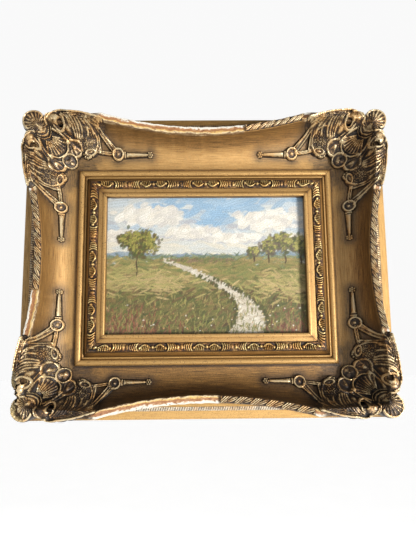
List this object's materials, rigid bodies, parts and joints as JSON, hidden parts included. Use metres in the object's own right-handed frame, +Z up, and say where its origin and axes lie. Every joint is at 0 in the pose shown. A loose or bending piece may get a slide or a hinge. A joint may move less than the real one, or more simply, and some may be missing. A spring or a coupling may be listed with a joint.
{
  "type": "framed oil painting",
  "caption": "Small landscape painting on board in a deep swept gilt frame with cast corner ornaments and a raised inner slip, hung on a wall",
  "frame": {"origin": "on the flat back of the top rail, halfway along it, where the frame hangs against a wall", "axes": "+X to the right as the viewer faces the picture, +Y from the picture back into the wall, +Z up. The back plane is y = 0"},
  "size_m": [0.3046, 0.0465, 0.2536],
  "materials": {
    "gilt_rail": "worn bronze gilding over wood, streaked along the grain, satin",
    "gilt_slip": "worn bronze gilding over wood, burnished on the beads",
    "carved_band": "gilt composition ornament, dark in the hollows",
    "antique_casting": "gilt composition ornament with an umber wash in the hollows and rubbed ridges",
    "oil_paint": "oil paint on a wooden board, satin varnish"
  },
  "bodies": {
    "root": {"rail_top": "gilt_rail", "rail_right": "gilt_rail", "rail_bottom": "gilt_rail", "rail_left": "gilt_rail", "slip_top": "gilt_slip", "slip_right": "gilt_slip", "slip_bottom": "gilt_slip", "slip_left": "gilt_slip", "slip_band_top": "carved_band", "slip_band_right": "carved_band", "slip_band_bottom": "carved_band", "slip_band_left": "carved_band", "leaf_strip_top": "antique_casting", "leaf_strip_right": "antique_casting", "leaf_strip_bottom": "antique_casting", "leaf_strip_left": "antique_casting", "corner_casting_top_left": "antique_casting", "corner_casting_top_right": "antique_casting", "corner_casting_bottom_right": "antique_casting", "corner_casting_bottom_left": "antique_casting", "painted_board": "oil_paint"}
  },
  "joints": []
}
